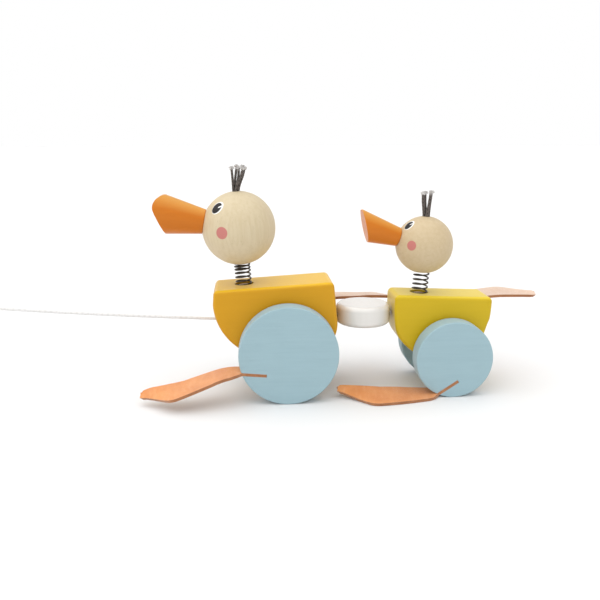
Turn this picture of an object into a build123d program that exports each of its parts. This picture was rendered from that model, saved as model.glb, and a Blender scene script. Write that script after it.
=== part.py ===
"""Pull-along mother duck and duckling: sprung heads, leather feet slapping on two wheelsets, a swivelling link."""
from build123d import *
import math
import os

os.makedirs("parts", exist_ok=True)

# Frame: +Z up, the ducks face -X, the floor is z = 0 and the origin is under the middle of the toy.
mother_axle_x = -45.03
axle_spacing = 114.3

mother = {
    "name": "mother",
    "axle_x": mother_axle_x,
    "pitch": 3.5,  # nose down, degrees
    "wheel_radius": 33.7,
    "body_half_width": 20.0,
    "deck": 44.8,  # height of the flat top above the axle, square to the body
    "bow_arc": ((-7.8, 35.0), 40.5),  # centre and radius
    "stern_arc": ((13.5, 16.5), 22.0),
    "deck_ends": (-47.0, 34.4),
    "neck_x": -26.4,
    "head_x": -26.9,
    "head_z": 83.6,
    "head_radius": 25.0,
    "spring_turns": 11,
    "beak_rise": 14.4,  # degrees above the body's long axis
    "beak_seat": 23.6,
    "beak_small_radius": 8.35,
    "beak_flare": 10.25,
    "beak_under_length": 23.9,
    "beak_cut": 33.6,
    "beak_tip_radius": 7.5,
    "hair_length": 18.0,
    "hair_leans": [(0, 0), (8, 8), (16, -8), (21, 4), (26, -3), (12, 0)],
}
duckling = {
    "name": "duckling",
    "axle_x": mother_axle_x + axle_spacing,
    "pitch": -2.2,
    "wheel_radius": 26.8,
    "body_half_width": 15.0,
    "deck": 41.2,
    "hull_points": [(-41.0, 36.5), (-40.3, 24.5), (-37.9, 13.4), (-32.0, 5.6), (-21.0, -2.0), (-5.0, -6.0),
                    (12.0, -3.0), (22.5, 9.0), (26.4, 22.0), (28.0, 36.5)],
    "deck_ends": (-41.0, 28.0),
    "neck_x": -21.2,
    "head_x": -20.2,
    "head_z": 74.9,
    "head_radius": 20.0,
    "spring_turns": 9,
    "beak_rise": 14.8,
    "beak_seat": 18.9,
    "beak_small_radius": 6.5,
    "beak_flare": 8.75,
    "beak_under_length": 20.3,
    "beak_cut": 28.4,
    "beak_tip_radius": 1.2,
    "hair_length": 17.5,
    "hair_leans": [(-5, 0), (-3, 6), (0, -5), (2, 4), (4, -2), (-1, 0)],
}

# Wheelsets
wheel_thickness = 13.0
wheel_gap = 2.0  # between a body's side and its wheel
wheel_edge = 0.8
axle_radius = 3.0
axle_clearance = 0.05
axle_in_wheel = 9.0
washer_radius = 7.0
washer_thickness = 1.4

# Leather feet
leather = 2.0
slot_offset = 14.4  # slot line from the wheel's centre
slot_depth = 16.8
slot_width = 2.1
foot_plan = [(0, 0), (0.93, -1.5), (1.0, 2.0), (0.66, 26.8), (0.12, 19.6), (0, 13.0)]  # (part of the reach, across)
# Each foot: which way it points, then (turn in degrees, length) of each bend, the first being its angle at the rim.
feet = {
    "mother_left": (-1, 5.2, [(-23.5, 20.0), (0.0, 24.0), (9.0, 27.5)]),
    "mother_right": (1, 18.5, [(-18.5, 22.0), (-5.0, 48.5)]),
    "duckling_left": (-1, -33.5, [(33.5, 5.4), (0.0, 62.2)]),
    "duckling_right": (1, 33.5, [(-34.0, 32.0), (-3.0, 35.5)]),
}

# Necks
neck_bore_radius = 6.5
neck_bore_depth = 7.0
spring_radius = 5.3
wire_radius = 0.55
neck_plug_radius = 4.4
neck_plug_length = 6.0

# Beak dowels and hair
dowel_radius = 3.0
dowel_fit = 0.02
dowel_into_head = 12.0
dowel_into_beak = 11.0
hair_hole_radius = 2.8
hair_hole_depth = 6.0
strand_radius = 0.85
strand_ring_radius = 1.75
body_edge = 2.5
deck_end_radius = 3.5

# Link
link_x = mother_axle_x + 54.7
link_z = 54.4
link_radius = 19.1
link_height = 14.5
link_edge = 3.2
link_pivot = 12.5  # from the middle of the link to each pivot
pin_radius = 1.5
pin_length = 10.5
lug_radius = 4.0
lug_thickness = 2.4
lug_clearance = 0.05
lug_shank_radius = 1.2
lug_shank_in_wood = 13.0
lug_slot_height = 3.4
lug_slot_half_width = 4.7
mother_stern_x = mother_axle_x + 34.2
duckling_bow_x = duckling["axle_x"] - 41.2

# Pull cord
cord_radius = 1.0
cord_hole_radius = 1.3
cord_route = [(-33.0, 51.3), (-60.0, 52.4), (-97.0, 54.4), (-134.0, 56.8), (-171.0, 59.6), (-208.0, 62.8),
              (-228.0, 64.9)]  # (from the mother's axle, height)
knot_pocket_radius = 4.2
knot_pocket_top = 55.5
knot_radius = 2.8
bead_radius = 11.0
bead_x = -213.0


def side_plane(duck):
    """The duck's own upright plane: x towards the tail, y square to the deck, origin on the axle."""
    tilt = math.radians(duck["pitch"])
    return Plane(
        origin=(duck["axle_x"], 0, duck["wheel_radius"]),
        x_dir=(math.cos(tilt), 0, math.sin(tilt)),
        z_dir=(0, -1, 0),
    )


def in_duck(duck, x, z, y=0.0):
    """A point given in the duck's own upright plane."""
    return side_plane(duck).from_local_coords(Vector(x, z, -y))


def up_plane(duck, x, z):
    """A plane square to the neck, with its normal pointing up out of the deck."""
    side = side_plane(duck)
    return Plane(origin=in_duck(duck, x, z), x_dir=side.x_dir, z_dir=side.y_dir)


def beak_plane(duck):
    """Origin at the head's centre, x along the beak, y up, z across."""
    rise = math.radians(duck["beak_rise"] - duck["pitch"])
    centre = in_duck(duck, duck["head_x"], duck["head_z"])
    return Plane(origin=centre, x_dir=(-math.cos(rise), 0, math.sin(rise)), z_dir=(0, 1, 0))


def save(part, name):
    part.label = name
    export_step(part, f"parts/{name}.step")


def wheel_inner(duck):
    return duck["body_half_width"] + wheel_gap


def foot_start(duck, facing, rim_angle):
    """Slot's inner end, its mouth at the rim and its direction, all in (x, z)."""
    angle = math.radians(rim_angle)
    out = Vector(facing * math.cos(angle), math.sin(angle))
    across = Vector(-out.Y, out.X)
    centre = Vector(duck["axle_x"], duck["wheel_radius"])
    mouth_along = math.sqrt(duck["wheel_radius"] ** 2 - slot_offset**2)
    line = centre + across * slot_offset
    return line + out * (mouth_along - slot_depth), line + out * mouth_along, out


def make_body(duck):
    side = side_plane(duck)
    bow, stern = [(x, duck["deck"]) for x in duck["deck_ends"]]
    with BuildPart() as body:
        with BuildSketch(side) as hull:
            with BuildLine():
                if duck["name"] == "mother":
                    bow_centre, bow_radius = duck["bow_arc"]
                    stern_centre, stern_radius = duck["stern_arc"]
                    front = CenterArc(bow_centre, bow_radius, 180, 90)
                    keel = Line(front @ 1, (stern_centre[0], stern_centre[1] - stern_radius))
                    back = CenterArc(stern_centre, stern_radius, 270, 90)
                    Polyline(back @ 1, stern, bow, front @ 0)
                else:
                    points = duck["hull_points"]
                    Polyline(points[-1], stern, bow, points[0])
                    Spline(*points, tangents=[(0, -1), (0, 1)])
            make_face()
            fillet(hull.vertices().group_by(Axis.Y)[-1], radius=deck_end_radius)
        extrude(amount=duck["body_half_width"], both=True)
        sides = body.faces().filter_by(Axis.Y)
        fillet(sides.edges(), radius=body_edge)
        with Locations(up_plane(duck, duck["neck_x"], duck["deck"])):
            Hole(radius=neck_bore_radius, depth=neck_bore_depth)
        with BuildSketch(side):
            Circle(axle_radius + axle_clearance)
        extrude(amount=duck["body_half_width"] + 1, both=True, mode=Mode.SUBTRACT)
        if duck["name"] == "mother":
            pocket_x = duck["axle_x"] + cord_route[0][0] + 3.5
            with BuildSketch(Plane.XY.offset(knot_pocket_top)):
                with Locations((pocket_x, 0)):
                    Circle(knot_pocket_radius)
            extrude(amount=-knot_pocket_top, mode=Mode.SUBTRACT)
            start = Vector(duck["axle_x"] + cord_route[0][0], 0, cord_route[0][1])
            next_point = Vector(duck["axle_x"] + cord_route[1][0], 0, cord_route[1][1])
            with BuildSketch(Plane(origin=start, z_dir=next_point - start)):
                Circle(cord_hole_radius)
            extrude(amount=30, mode=Mode.SUBTRACT)
            drill_from, drill_way = mother_stern_x + 2, -1
        else:
            drill_from, drill_way = duckling_bow_x - 2, 1
        with BuildSketch(Plane(origin=(drill_from, 0, link_z), z_dir=(drill_way, 0, 0))):
            Circle(lug_shank_radius + lug_clearance)
        extrude(amount=lug_shank_in_wood + 2.5, mode=Mode.SUBTRACT)
    save(body.part, f"{duck['name']}_body")


def make_head(duck):
    beak = beak_plane(duck)
    centre = in_duck(duck, duck["head_x"], duck["head_z"])
    with BuildPart() as head:
        with Locations(centre):
            Sphere(duck["head_radius"])
        with Locations(up_plane(duck, duck["head_x"], duck["head_z"] + duck["head_radius"])):
            Hole(radius=hair_hole_radius, depth=hair_hole_depth)
        with BuildSketch(up_plane(duck, duck["head_x"], duck["head_z"] - duck["head_radius"] - 1)):
            Circle(neck_bore_radius)
        extrude(amount=neck_bore_depth + 2, mode=Mode.SUBTRACT)
        seat = Plane(origin=centre + beak.x_dir * duck["beak_seat"], z_dir=beak.x_dir)
        with BuildSketch(seat):
            Circle(duck["beak_small_radius"] + 1.0)
        extrude(amount=5, mode=Mode.SUBTRACT)
        with BuildSketch(seat):
            Circle(dowel_radius + dowel_fit)
        extrude(amount=-dowel_into_head - 0.5, mode=Mode.SUBTRACT)
    save(head.part, f"{duck['name']}_head")

    near_end = duck["beak_seat"]
    slope = math.tan(math.radians(duck["beak_flare"]))
    cut = math.tan(math.radians(duck["beak_cut"]))
    low_x = near_end + duck["beak_under_length"]
    low_y = -(duck["beak_small_radius"] + duck["beak_under_length"] * slope)
    tip_y = (duck["beak_small_radius"] + (low_x - low_y * cut - near_end) * slope) / (1 - cut * slope)
    tip_x = low_x + (tip_y - low_y) * cut
    far_x = tip_x + 2
    with BuildPart() as beak_part:
        with BuildSketch(beak):
            with BuildLine():
                Polyline(
                    (near_end, 0),
                    (near_end, duck["beak_small_radius"]),
                    (far_x, duck["beak_small_radius"] + (far_x - near_end) * slope),
                    (far_x, 0),
                    close=True,
                )
            make_face()
        revolve(axis=Axis(beak.origin, beak.x_dir), revolution_arc=360)
        with BuildSketch(beak) as silhouette:
            with BuildLine():
                Polyline(
                    (near_end - 1, duck["beak_small_radius"] + 0.25 - slope),
                    (near_end - 1, 3 * low_y),
                    (low_x + 2 * low_y * cut, 3 * low_y),
                    (tip_x, tip_y + 0.25),
                    close=True,
                )
            make_face()
            fillet(silhouette.vertices().sort_by(Axis.X)[-1], radius=duck["beak_tip_radius"])
        extrude(amount=2 * duck["head_radius"], both=True, mode=Mode.INTERSECT)
        small_end = beak_part.faces().sort_by_distance(beak.origin + beak.x_dir * near_end)[0]
        chamfer(small_end.edges(), length=0.5)
        with BuildSketch(Plane(origin=beak.origin + beak.x_dir * near_end, z_dir=beak.x_dir)):
            Circle(dowel_radius + dowel_fit)
        extrude(amount=dowel_into_beak + 0.5, mode=Mode.SUBTRACT)
    save(beak_part.part, f"{duck['name']}_beak")

    with BuildPart() as dowel:
        start = beak.origin + beak.x_dir * (near_end - dowel_into_head)
        with BuildSketch(Plane(origin=start, z_dir=beak.x_dir)):
            Circle(dowel_radius)
        extrude(amount=dowel_into_head + dowel_into_beak)
        chamfer(dowel.edges(), length=0.4)
    save(dowel.part, f"{duck['name']}_beak_dowel")


def make_hair(duck):
    base = up_plane(duck, duck["head_x"], duck["head_z"] + duck["head_radius"] - hair_hole_depth + 0.4)
    count = len(duck["hair_leans"]) - 1
    with BuildPart() as hair:
        for i, (lean, splay) in enumerate(duck["hair_leans"]):
            turn = 2 * math.pi * i / count
            ring = strand_ring_radius if i < count else 0.0
            foot = Location(base) * Location((-ring * math.cos(turn), ring * math.sin(turn), 0))
            length = duck["hair_length"] + hair_hole_depth - 0.4 * i
            root = hair_hole_depth - 0.4
            with BuildSketch(Plane(foot)):
                Circle(strand_radius)
            extrude(amount=root)
            top = foot * Location((0, 0, root)) * Location((0, 0, 0), (splay, lean, 0))
            with BuildSketch(Plane(top)):
                Circle(strand_radius)
            extrude(amount=length - root)
    save(hair.part, f"{duck['name']}_hair")


def make_neck(duck):
    low = in_duck(duck, duck["neck_x"], duck["deck"] - neck_bore_depth + 0.3)
    high = in_duck(duck, duck["head_x"], duck["head_z"] - duck["head_radius"] + neck_bore_depth + 0.6)
    way = high - low
    across = side_plane(duck).x_dir
    helix_height = way.length - 2 * wire_radius
    with BuildPart() as spring:
        with BuildLine():
            coil = Helix(
                pitch=helix_height / duck["spring_turns"],
                height=helix_height,
                radius=spring_radius,
                center=low + way.normalized() * wire_radius,
                direction=way,
            )
        with BuildSketch(Plane(origin=coil @ 0, z_dir=coil % 0)):
            Circle(wire_radius)
        sweep(path=coil, is_frenet=True)
    save(spring.part, f"{duck['name']}_neck_spring")

    for label, centre, sense in (("lower", low, 1), ("upper", high, -1)):
        with BuildPart() as plug:
            with BuildSketch(Plane(origin=centre, x_dir=across, z_dir=way * sense)):
                Circle(neck_plug_radius)
            extrude(amount=neck_plug_length)
            chamfer(plug.edges(), length=0.6)
        save(plug.part, f"{duck['name']}_{label}_neck_plug")


def make_wheelset(duck):
    inner = wheel_inner(duck)
    half_axle = inner + axle_in_wheel
    centre = Vector(duck["axle_x"], 0, duck["wheel_radius"])
    with BuildPart() as axle:
        with BuildSketch(Plane(origin=centre, z_dir=(0, 1, 0))):
            Circle(axle_radius)
        extrude(amount=half_axle, both=True)
        chamfer(axle.edges(), length=0.5)
    save(axle.part, f"{duck['name']}_axle")

    with BuildPart() as washers:
        middle = duck["body_half_width"] + wheel_gap / 2
        for side in (-1, 1):
            with BuildSketch(Plane(origin=centre + Vector(0, side * middle, 0), z_dir=(0, 1, 0))):
                Circle(washer_radius)
                Circle(axle_radius + 0.15, mode=Mode.SUBTRACT)
            extrude(amount=washer_thickness / 2, both=True)
    save(washers.part, f"{duck['name']}_axle_washers")

    for side, label in ((-1, "left"), (1, "right")):
        facing, rim_angle, _ = feet[f"{duck['name']}_{label}"]
        slot_end, mouth, out = foot_start(duck, facing, rim_angle)
        slot_middle = slot_end + out * (slot_depth / 2 + 1)
        slot_angle = math.degrees(math.atan2(out.Y, out.X))
        inner_face = Plane(origin=(0, side * inner, 0), x_dir=(1, 0, 0), z_dir=(0, -1, 0))
        outward = -side  # the plane's normal is -Y
        with BuildPart() as wheel:
            with BuildSketch(inner_face):
                with Locations((centre.X, centre.Z)):
                    Circle(duck["wheel_radius"])
            extrude(amount=outward * wheel_thickness)
            fillet(wheel.edges().filter_by(GeomType.CIRCLE), radius=wheel_edge)
            with BuildSketch(inner_face):
                with Locations((centre.X, centre.Z)):
                    Circle(axle_radius + dowel_fit)
            extrude(amount=outward * (axle_in_wheel + 0.3), mode=Mode.SUBTRACT)
            with BuildSketch(inner_face):
                with Locations(Location((slot_middle.X, slot_middle.Y), slot_angle)):
                    Rectangle(slot_depth + 2, slot_width)
            extrude(amount=outward * wheel_thickness, mode=Mode.SUBTRACT)
        save(wheel.part, f"{duck['name']}_wheel_{label}")
        make_foot(duck, side, label)


def make_foot(duck, side, label):
    facing, rim_angle, bends = feet[f"{duck['name']}_{label}"]
    slot_end, mouth, out = foot_start(duck, facing, rim_angle)
    start = slot_end + out * 0.2
    inner = wheel_inner(duck)
    with BuildPart() as foot:
        with BuildSketch(Plane.XZ.offset(-side * (inner - 6))):
            with BuildLine():
                run = Line((start.X, start.Y), (mouth.X, mouth.Y))
                for turn, length in bends:
                    if turn:
                        radius = length / math.radians(abs(turn))
                        run = JernArc(run @ 1, run % 1, radius, facing * turn)
                    else:
                        run = Line(run @ 1, run @ 1 + (run % 1) * length)
            trace(line_width=leather)
        extrude(amount=-side * 36)
        reach = abs((run @ 1).X - mouth.X)
        with BuildSketch() as plan:
            with BuildLine():
                tail = slot_end.X - facing * 3
                ends = [(tail, side * inner), (tail, side * (inner + wheel_thickness))]
                edge = [(mouth.X + facing * part * reach, side * (inner + across)) for part, across in foot_plan]
                Polyline(ends[0], *edge, ends[1], close=True)
            make_face()
            corners = plan.vertices()
            fillet(corners.sort_by_distance((*edge[3], 0))[0], radius=9)
            fillet(corners.sort_by_distance((*edge[2], 0))[0], radius=4)
            fillet(corners.sort_by_distance((*edge[1], 0))[0], radius=3.5)
            fillet(corners.sort_by_distance((*edge[4], 0))[0], radius=12)
        extrude(amount=200, mode=Mode.INTERSECT)
    save(foot.part, f"{duck['name']}_foot_{label}")


def make_link():
    with BuildPart() as disc:
        with Locations((link_x, 0, link_z)):
            Cylinder(link_radius, link_height)
        fillet(disc.edges().filter_by(GeomType.CIRCLE), radius=link_edge)
        for way in (-1, 1):
            slot_from = link_pivot - lug_radius - 0.5
            slot_length = link_radius + 1 - slot_from
            with Locations((link_x + way * (slot_from + slot_length / 2), 0, link_z)):
                Box(slot_length, 2 * lug_slot_half_width, lug_slot_height, mode=Mode.SUBTRACT)
            with BuildSketch(Plane.XY.offset(link_z - link_height / 2)):
                with Locations((link_x + way * link_pivot, 0)):
                    Circle(pin_radius + dowel_fit)
            extrude(amount=pin_length + 0.3, mode=Mode.SUBTRACT)
    save(disc.part, "link_disc")

    with BuildPart() as pins:
        for way in (-1, 1):
            with BuildSketch(Plane.XY.offset(link_z - link_height / 2 + 0.2)):
                with Locations((link_x + way * link_pivot, 0)):
                    Circle(pin_radius)
            extrude(amount=pin_length)
    save(pins.part, "link_pins")

    for way, label, wood_x in ((-1, "front", mother_stern_x), (1, "rear", duckling_bow_x)):
        pivot = link_x + way * link_pivot
        far_x = wood_x + way * lug_shank_in_wood
        with BuildPart() as lug:
            with BuildSketch(Plane.XY.offset(link_z - lug_thickness / 2)):
                with Locations((pivot, 0)):
                    Circle(lug_radius)
            extrude(amount=lug_thickness)
            shank_from = pivot + way * (lug_radius - 1)
            with BuildSketch(Plane(origin=(shank_from, 0, link_z), z_dir=(way, 0, 0))):
                Circle(lug_shank_radius)
            extrude(amount=abs(far_x - shank_from))
            with BuildSketch(Plane.XY.offset(link_z - lug_thickness)):
                with Locations((pivot, 0)):
                    Circle(pin_radius + lug_clearance)
            extrude(amount=2 * lug_thickness, mode=Mode.SUBTRACT)
        save(lug.part, f"link_lug_{label}")


def make_cord():
    route = [Vector(mother_axle_x + x, 0, z) for x, z in cord_route]
    runs = [(b - a).length for a, b in zip(route, route[1:])]
    radii = []
    for i in range(1, len(route) - 1):
        turn = (route[i] - route[i - 1]).get_angle(route[i + 1] - route[i])
        radii.append(0.45 * min(runs[i - 1], runs[i]) / math.tan(math.radians(turn) / 2))
    with BuildPart() as cord:
        with BuildLine():
            path = FilletPolyline(*route, radius=radii)
        with BuildSketch(Plane(origin=path @ 0, z_dir=path % 0)):
            Circle(cord_radius)
        sweep(path=path)
    expected = math.pi * cord_radius**2 * path.length
    print("cord bend radii", [round(r) for r in radii])
    print(f"cord length {path.length:.1f}, volume {cord.part.volume:.1f} against {expected:.1f}")
    save(cord.part, "pull_cord")

    end = path @ 1
    end_way = path % 1
    bead_at = next(p for p in (path @ (i / 200) for i in range(201)) if p.X <= mother_axle_x + bead_x)
    with BuildPart() as bead:
        with Locations(bead_at):
            Sphere(bead_radius)
        with BuildSketch(Plane(origin=bead_at, z_dir=end_way)):
            Circle(cord_hole_radius)
        extrude(amount=2 * bead_radius, both=True, mode=Mode.SUBTRACT)
    save(bead.part, "pull_bead")

    for name, face, way in (("pull_cord_knot", end, end_way), ("pull_cord_inner_knot", path @ 0, path % 0 * -1)):
        with BuildPart() as knot:
            with Locations(face + way * (knot_radius - 0.6)):
                Sphere(knot_radius)
            with BuildSketch(Plane(origin=face, z_dir=way)):
                Circle(2 * knot_radius)
            extrude(amount=3 * knot_radius, mode=Mode.INTERSECT)
        save(knot.part, name)


for duck in (mother, duckling):
    make_body(duck)
    make_head(duck)
    make_hair(duck)
    make_neck(duck)
    make_wheelset(duck)
make_link()
make_cord()
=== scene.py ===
import bpy
import math
import random
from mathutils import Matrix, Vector


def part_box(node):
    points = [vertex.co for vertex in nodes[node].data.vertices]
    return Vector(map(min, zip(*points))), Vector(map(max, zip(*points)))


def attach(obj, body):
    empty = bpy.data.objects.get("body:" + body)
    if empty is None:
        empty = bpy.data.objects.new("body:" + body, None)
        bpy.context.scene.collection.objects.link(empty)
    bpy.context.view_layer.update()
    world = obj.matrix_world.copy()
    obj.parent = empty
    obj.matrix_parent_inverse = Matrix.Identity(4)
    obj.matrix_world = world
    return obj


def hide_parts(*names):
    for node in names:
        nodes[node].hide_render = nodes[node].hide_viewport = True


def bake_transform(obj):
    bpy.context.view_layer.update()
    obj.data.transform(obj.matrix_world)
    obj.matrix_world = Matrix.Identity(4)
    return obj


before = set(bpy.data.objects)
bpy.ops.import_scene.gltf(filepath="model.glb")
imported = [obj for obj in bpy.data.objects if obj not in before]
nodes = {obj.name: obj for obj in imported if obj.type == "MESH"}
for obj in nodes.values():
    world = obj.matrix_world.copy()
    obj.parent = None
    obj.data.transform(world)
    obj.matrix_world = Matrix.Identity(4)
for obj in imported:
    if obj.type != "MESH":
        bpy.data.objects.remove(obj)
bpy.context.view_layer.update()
random.seed(11)
print("frame loaded:", len(nodes), "nodes")


# Small helpers

def middleOf(name):
    low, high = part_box(name)
    return (Vector(low) + Vector(high)) / 2


def clearSelection():
    if bpy.context.object and bpy.context.object.mode != "OBJECT":
        bpy.ops.object.mode_set(mode="OBJECT")
    bpy.ops.object.select_all(action="DESELECT")


def makeActive(*objects):
    clearSelection()
    for obj in objects:
        obj.select_set(True)
    bpy.context.view_layer.objects.active = objects[0]
    return objects[0]


def applyModifiers(obj):
    makeActive(obj)
    for modifier in list(obj.modifiers):
        bpy.ops.object.modifier_apply(modifier=modifier.name)


def cleanMesh(obj, merge=0.00001):
    makeActive(obj)
    bpy.ops.object.mode_set(mode="EDIT")
    bpy.ops.mesh.select_all(action="SELECT")
    bpy.ops.mesh.remove_doubles(threshold=merge)
    bpy.ops.mesh.normals_make_consistent(inside=False)
    bpy.ops.mesh.select_all(action="DESELECT")
    bpy.ops.object.mode_set(mode="OBJECT")


def addNode(tree, kind, inputs=None, **settings):
    node = tree.nodes.new(kind)
    for key, value in settings.items():
        setattr(node, key, value)
    for key, value in (inputs or {}).items():
        if isinstance(value, bpy.types.NodeSocket):
            tree.links.new(value, node.inputs[key])
        else:
            node.inputs[key].default_value = value
    return node


def calculate(tree, operation, a, b=0.0, clamp=False):
    return addNode(tree, "ShaderNodeMath", {0: a, 1: b}, operation=operation, use_clamp=clamp).outputs[0]


def times(tree, a, b):
    return calculate(tree, "MULTIPLY", a, b)


def plus(tree, a, b):
    return calculate(tree, "ADD", a, b)


def remap(tree, value, fromLow, fromHigh, toLow=0.0, toHigh=1.0):
    inputs = {"Value": value, "From Min": fromLow, "From Max": fromHigh, "To Min": toLow, "To Max": toHigh}
    return addNode(tree, "ShaderNodeMapRange", inputs).outputs["Result"]


def mixColour(tree, factor, a, b):
    node = addNode(tree, "ShaderNodeMix", data_type="RGBA")
    for socket, value in ((node.inputs[0], factor), (node.inputs[6], a), (node.inputs[7], b)):
        if isinstance(value, bpy.types.NodeSocket):
            tree.links.new(value, socket)
        else:
            socket.default_value = value
    return node.outputs[2]


def newGroup(name, inputs, outputs):
    tree = bpy.data.node_groups.new(name, "ShaderNodeTree")
    for label, value in inputs.items():  # an input without a value is a place or a direction
        kind = "NodeSocketVector" if value is None else "NodeSocketFloat"
        socket = tree.interface.new_socket(name=label, in_out="INPUT", socket_type=kind)
        if value is not None:
            socket.default_value = value
    for label in outputs:
        tree.interface.new_socket(name=label, in_out="OUTPUT", socket_type="NodeSocketFloat")
    return tree, tree.nodes.new("NodeGroupInput").outputs, tree.nodes.new("NodeGroupOutput").inputs


def useGroup(tree, group, inputs):
    return addNode(tree, "ShaderNodeGroup", inputs, node_tree=group).outputs


def noise(tree, place, scale, detail, roughness=0.5, distortion=0.0):
    inputs = {"Vector": place, "Scale": scale, "Detail": detail, "Roughness": roughness, "Distortion": distortion}
    return addNode(tree, "ShaderNodeTexNoise", inputs).outputs["Fac"]


def stretch(tree, place, scale, turn=(0, 0, 0)):
    return addNode(tree, "ShaderNodeMapping", {"Vector": place, "Scale": scale, "Rotation": turn}).outputs[0]


def resize(tree, place, scale):
    return addNode(tree, "ShaderNodeVectorMath", {0: place, "Scale": scale}, operation="SCALE").outputs[0]


def dotProduct(tree, a, b):
    return addNode(tree, "ShaderNodeVectorMath", {0: a, 1: b}, operation="DOT_PRODUCT").outputs["Value"]


def giveResults(tree, result, values):
    for label, value in values.items():
        tree.links.new(value, result[label])


def setInputs(shader, values):
    for label, value in values.items():
        shader.inputs[label].default_value = value


def paint(rgb):
    return (*rgb, 1.0)


# Shared shader groups

def makeWoodGrain():
    tree, given, result = newGroup(
        "woodGrain", {"Vector": None, "Ring Width": 0.004, "Wander": 0.6},
        ["Rings", "Fibres", "Pores", "Streaks", "Height"])
    long = stretch(tree, given["Vector"], (1, 1, 0.07))
    drift = noise(tree, long, 45.0, 3.0)
    split = addNode(tree, "ShaderNodeSeparateXYZ", {0: long})
    squares = [calculate(tree, "POWER", split.outputs[i], 2.0) for i in (0, 1)]
    radius = calculate(tree, "SQRT", plus(tree, *squares))
    turns = calculate(tree, "DIVIDE", radius, given["Ring Width"])
    turns = plus(tree, turns, times(tree, drift, times(tree, given["Wander"], 6.0)))
    saw = calculate(tree, "FRACT", turns)
    late = calculate(tree, "POWER", saw, 2.2)
    early = remap(tree, saw, 0.94, 1.0, 1.0, 0.0)
    rings = times(tree, late, early)
    fine = stretch(tree, given["Vector"], (1, 1, 0.025))
    fibres = noise(tree, fine, 1500.0, 3.0, roughness=0.65)
    poreCells = noise(tree, fine, 2600.0, 1.0)
    pores = remap(tree, poreCells, 0.64, 0.75)
    broad = stretch(tree, given["Vector"], (1, 1, 0.05))
    bands = noise(tree, broad, 480.0, 2.0)
    streaks = remap(tree, bands, 0.42, 0.64)
    height = calculate(tree, "SUBTRACT", times(tree, fibres, 0.8), times(tree, pores, 0.6))
    height = calculate(tree, "SUBTRACT", height, times(tree, rings, 0.25))
    giveResults(tree, result, {"Rings": rings, "Fibres": fibres, "Pores": pores, "Streaks": streaks, "Height": height})
    return tree


def makeEdgeWearAndHighlight():
    tree, given, result = newGroup("edgeWearAndHighlight", {"Vector": None, "Radius": 0.0008, "Amount": 0.5}, ["EdgeHighlight", "Worn"])
    soft = addNode(tree, "ShaderNodeBevel", {"Radius": given["Radius"]}, samples=4).outputs[0]
    true = addNode(tree, "ShaderNodeNewGeometry").outputs["Normal"]
    agree = dotProduct(tree, soft, true)
    # the rounded-edge mask marks the chips and also a painted highlight along the edges
    edge = remap(tree, agree, 0.985, 0.80)
    patches = noise(tree, given["Vector"], 260.0, 5.0, roughness=0.7)
    chipped = times(tree, edge, remap(tree, patches, 0.48, 0.66))
    worn = calculate(tree, "MULTIPLY", chipped, given["Amount"], clamp=True)
    giveResults(tree, result, {"EdgeHighlight": edge, "Worn": worn})
    return tree


def makeHandlingAndTopLight():
    tree, given, result = newGroup("handlingAndTopLight", {"Vector": None}, ["Smudge", "Scuffs", "Dust", "TopLight"])
    smudge = noise(tree, given["Vector"], 38.0, 4.0)
    stretched = stretch(tree, given["Vector"], (0.15, 1, 1), (0, 0.5, 0.3))
    lines = noise(tree, stretched, 1400.0, 1.0)
    scuffs = times(tree, remap(tree, lines, 0.70, 0.78), remap(tree, smudge, 0.5, 0.65))
    normal = addNode(tree, "ShaderNodeNewGeometry").outputs["Normal"]
    up = addNode(tree, "ShaderNodeSeparateXYZ", {0: normal}).outputs[2]
    specks = noise(tree, given["Vector"], 900.0, 3.0)
    dust = times(tree, remap(tree, up, 0.5, 1.0), remap(tree, specks, 0.55, 0.75))
    # a mask of upward faces, used to paint them lighter as light from above would
    upward = remap(tree, up, 0.35, 0.92)
    giveResults(tree, result, {"Smudge": smudge, "Scuffs": scuffs, "Dust": dust, "TopLight": upward})
    return tree


def makePrintedSpot():
    tree, given, result = newGroup(
        "printedSpot",
        {"Vector": None, "Centre": None, "Along": None, "Across": None, "Length": 0.1, "Width": 0.1, "Ragged": 0.03},
        ["Mask"])
    difference = {0: given["Vector"], 1: given["Centre"]}
    offset = addNode(tree, "ShaderNodeVectorMath", difference, operation="SUBTRACT").outputs[0]
    parts = []
    for axis, size in (("Along", "Length"), ("Across", "Width")):
        reach = dotProduct(tree, offset, given[axis])
        parts.append(calculate(tree, "POWER", calculate(tree, "DIVIDE", reach, given[size]), 2.0))
    behind = dotProduct(tree, given["Vector"], given["Centre"])
    distance = calculate(tree, "SQRT", plus(tree, *parts))
    rough = noise(tree, given["Vector"], 22.0, 3.0)
    ragged = times(tree, calculate(tree, "SUBTRACT", rough, 0.5), given["Ragged"])
    distance = plus(tree, distance, ragged)
    mask = times(tree, remap(tree, distance, 1.03, 0.97), calculate(tree, "GREATER_THAN", behind, 0.3))
    giveResults(tree, result, {"Mask": mask})
    return tree


def makeLeatherGrain():
    tree, given, result = newGroup("leatherGrain", {"Vector": None}, ["Cells", "Creases", "Mottle", "Height"])
    pebbles = {"Vector": given["Vector"], "Scale": 1300.0, "Randomness": 1.0}
    cells = addNode(tree, "ShaderNodeTexVoronoi", pebbles, feature="DISTANCE_TO_EDGE").outputs["Distance"]
    cells = remap(tree, cells, 0.0, 0.22)
    drawn = stretch(tree, given["Vector"], (1, 0.3, 1))
    creases = noise(tree, drawn, 210.0, 6.0, roughness=0.6, distortion=0.6)
    mottle = noise(tree, given["Vector"], 70.0, 5.0)
    height = plus(tree, times(tree, cells, 0.5), times(tree, creases, 0.5))
    giveResults(tree, result, {"Cells": cells, "Creases": creases, "Mottle": mottle, "Height": height})
    return tree


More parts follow.
